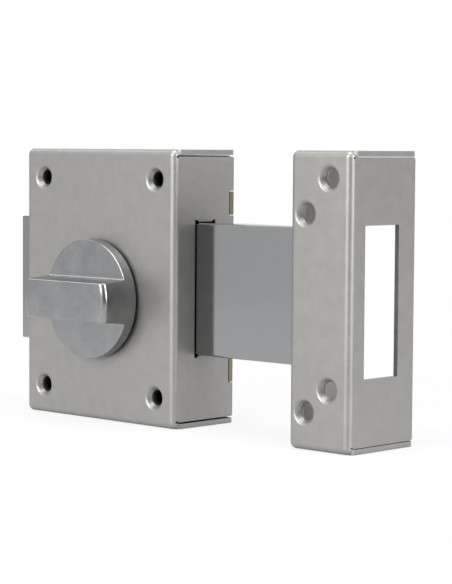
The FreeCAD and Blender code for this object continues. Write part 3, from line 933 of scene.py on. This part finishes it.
def noise_effect(name, stretch, scale, detail):
    """Noise in object coordinates, stretched along X, spread about its middle."""
    group, start, end = effect(name, "Value", {"Scale": scale, "Contrast": 1.0})
    place = add(group, "ShaderNodeTexCoord").outputs["Object"]
    mapping = add(group, "ShaderNodeMapping", Vector=place, Scale=(1 / stretch, 1, 1))
    noise = add(group, "ShaderNodeTexNoise", Vector=mapping.outputs["Vector"],
                Scale=start["Scale"], Detail=detail, Roughness=noise_roughness)
    swing = combine(group, "SUBTRACT", noise.outputs["Fac"], noise_middle)
    gain = combine(group, "MULTIPLY", swing, start["Contrast"])
    feed(group, end["Value"], combine(group, "ADD", gain, noise_middle, clamp=True))
    return group


grain = noise_effect("fine_grain", 1.0, 3000.0, 2.0)
clouds = noise_effect("slow_clouds", 1.0, 60.0, 3.0)
streaks = noise_effect("brushed_streaks", 60.0, 2500.0, 3.0)
print("noise effects:", grain.name, clouds.name, streaks.name)

# %% [markdown]
# The other two effects are masks. Outer edges are polished bright by use, and a rounded
# normal differs from the true one there. Bores, gaps and inner corners get painted shade:
# ambient occlusion finds them, and their colour is darkened where light hardly reaches.
# Both could be painted by hand, but these nodes find the places by themselves on every
# piece.

# %% Edge wear and painted shade
mask_samples = 6
shade_falloff = 2.2


def wear_effect():
    """A mask of outer edges: where a bevelled normal leaves the true one."""
    group, start, end = effect("edge_wear", "Mask", {"Radius": 0.4 * mm, "Amount": 1.0})
    soft = add(group, "ShaderNodeBevel", samples=mask_samples, Radius=start["Radius"])
    true = add(group, "ShaderNodeNewGeometry")
    likeness = add(group, "ShaderNodeVectorMath", soft.outputs["Normal"],
                   true.outputs["Normal"], operation="DOT_PRODUCT")
    away = combine(group, "SUBTRACT", 1.0, likeness.outputs["Value"], clamp=True)
    feed(group, end["Mask"],
         combine(group, "MULTIPLY", away, start["Amount"], clamp=True))
    return group


def recess_effect():
    """A mask of deep places, bores, gaps and inner corners, where shade is painted."""
    group, start, end = effect("painted_recess_shade", "Mask",
                               {"Distance": 4.0 * mm, "Amount": 1.0})
    # Ambient occlusion finds where little light reaches, and the mask paints shade there.
    open_sky = add(group, "ShaderNodeAmbientOcclusion", samples=mask_samples,
                   Distance=start["Distance"])
    closed = combine(group, "SUBTRACT", 1.0, open_sky.outputs["AO"], clamp=True)
    deep = combine(group, "POWER", closed, shade_falloff)
    feed(group, end["Mask"],
         combine(group, "MULTIPLY", deep, start["Amount"], clamp=True))
    return group


wear = wear_effect()
recess = recess_effect()
print("masks:", wear.name, recess.name)

# %% [markdown]
# Every metal here is the same recipe with its own numbers: two close colours mixed by
# an effect, a roughness that the same effect moves a little, bright worn edges, painted
# shade in the deep places, and a small bump. Each could be a material of its own making,
# but one recipe keeps them alike where real metals are alike.

# %% One recipe for the metals
# Painted shade: this near-black colour is mixed into each metal where ambient occlusion
# finds a deep place.
shade_colour = (0.02, 0.02, 0.02)


def placed(tree, group, **values):
    """The result of a shared effect, placed in a material with its own values."""
    node = tree.nodes.new("ShaderNodeGroup")
    node.node_tree = group
    for title, value in values.items():
        node.inputs[title].default_value = value
    return node.outputs[0]


def metal(name, colours, roughness, spots, relief, bump, metallic=1.0, worn=None,
          painted_shade=(0.9, 4.0 * mm)):
    """Spots and relief are an effect, its scale and its contrast. Worn edges are a
    colour, a width and an amount, and painted shade in deep places is an amount and a
    distance."""
    material = bpy.data.materials.new(name)
    material.use_nodes = True
    tree = material.node_tree
    share = placed(tree, spots[0], Scale=spots[1], Contrast=spots[2])
    colour = mix(tree, "RGBA", share, (*colours[0], 1), (*colours[1], 1))
    if worn:
        edges = placed(tree, wear, Radius=worn[1], Amount=worn[2])
        colour = mix(tree, "RGBA", edges, colour, (*worn[0], 1))
    # Painted shade: the colour turns dark in bores, gaps and inner corners, where little
    # light reaches.
    deep = placed(tree, recess, Amount=painted_shade[0], Distance=painted_shade[1])
    colour = mix(tree, "RGBA", deep, colour, (*shade_colour, 1))
    height = placed(tree, relief[0], Scale=relief[1], Contrast=relief[2])
    bumps = add(tree, "ShaderNodeBump", Strength=1.0, Distance=bump, Height=height)
    surface = tree.nodes["Principled BSDF"].inputs
    feed(tree, surface["Base Color"], colour)
    feed(tree, surface["Metallic"], metallic)
    feed(tree, surface["Roughness"], remap(tree, share, (0.0, 1.0), roughness))
    feed(tree, surface["Normal"], bumps.outputs["Normal"])
    return material


# %% [markdown]
# The numbers make paint, brushed steel or a casting of the recipe. The case and the
# strike are satin, the plate is zinc with a yellow tint, the knob is a satin casting,
# and the bolt is brushed and smooth. The inner pieces are plated steel, plain gear
# steel, dark spring steel and brass, as such a mechanism usually has.

# %% Finishes
recipes = {
    # The paint's painted shade reaches 2 mm, and darkens the seats and the gap under the
    # knob.
    "satin_paint": dict(
        colours=((0.312, 0.307, 0.297), (0.352, 0.347, 0.335)), roughness=(0.43, 0.47),
        spots=(clouds, 220.0, 1.6), relief=(grain, 2600.0, 1.0), bump=0.004 * mm,
        metallic=0.88, painted_shade=(1.0, 2.0 * mm)),
    "yellow_zinc": dict(
        colours=((0.225, 0.212, 0.140), (0.270, 0.256, 0.172)), roughness=(0.34, 0.42),
        spots=(clouds, 60.0, 1.5), relief=(grain, 1800.0, 1.0), bump=0.006 * mm,
        metallic=0.9, worn=((0.479, 0.456, 0.342), 0.3 * mm, 1.5)),
    "satin_cast_metal": dict(
        colours=((0.276, 0.279, 0.284), (0.348, 0.351, 0.357)), roughness=(0.20, 0.28),
        spots=(clouds, 110.0, 2.2), relief=(clouds, 260.0, 1.0), bump=0.02 * mm,
        worn=((0.456, 0.456, 0.467), 0.4 * mm, 1.2), painted_shade=(0.9, 1.0 * mm)),
    "brushed_bolt_steel": dict(
        colours=((0.292, 0.295, 0.302), (0.346, 0.349, 0.355)), roughness=(0.08, 0.13),
        spots=(streaks, 4000.0, 0.9), relief=(streaks, 5000.0, 0.8), bump=0.002 * mm,
        worn=((0.479, 0.479, 0.479), 0.4 * mm, 1.6)),
    # Its painted shade reaches 15 mm, and paints the screw sleeves' deep bores dark.
    "zinc_plated_steel": dict(
        colours=((0.300, 0.303, 0.312), (0.380, 0.383, 0.392)), roughness=(0.30, 0.42),
        spots=(clouds, 240.0, 2.2), relief=(grain, 1500.0, 1.0), bump=0.006 * mm,
        worn=((0.480, 0.480, 0.490), 0.3 * mm, 1.5), painted_shade=(1.0, 15.0 * mm)),
    "gear_steel": dict(
        colours=((0.274, 0.274, 0.285), (0.353, 0.353, 0.365)), roughness=(0.26, 0.40),
        spots=(clouds, 300.0, 2.4), relief=(grain, 1500.0, 1.0), bump=0.008 * mm,
        worn=((0.479, 0.479, 0.479), 0.3 * mm, 1.6)),
    "spring_steel": dict(
        colours=((0.148, 0.171, 0.217), (0.228, 0.239, 0.251)), roughness=(0.22, 0.34),
        spots=(clouds, 200.0, 2.6), relief=(streaks, 2000.0, 1.0), bump=0.005 * mm,
        worn=((0.388, 0.388, 0.388), 0.3 * mm, 1.4)),
    "bush_brass": dict(
        colours=((0.479, 0.342, 0.160), (0.593, 0.445, 0.228)), roughness=(0.22, 0.34),
        spots=(clouds, 260.0, 2.2), relief=(grain, 1500.0, 1.0), bump=0.005 * mm,
        worn=((0.684, 0.570, 0.342), 0.3 * mm, 1.4)),
}
finishes = {name: metal(name, **recipe) for name, recipe in recipes.items()}

made_new = {case_cover: "satin_paint", strike: "satin_paint", knob: "satin_cast_metal",
            plate: "yellow_zinc", bolt: "brushed_bolt_steel"}
for made, slot_name in made_new.items():
    made.data.materials.append(finishes[slot_name])
for part in frame["record"]["subparts"]:
    node = frame["nodes"][part["node"]]
    for holder in node.material_slots:
        holder.material = finishes[part["material_slot"]]
print(len(finishes), "finishes")

# %% [markdown]
# The object's box is measured once more and kept beside the imported model's box, because
# the pieces that were made anew have to stay inside it.

# %% Size
seen_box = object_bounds()
for end, corner in zip(("low", "high"), seen_box):
    print("visual box", end, [round(c / mm, 2) for c in corner])
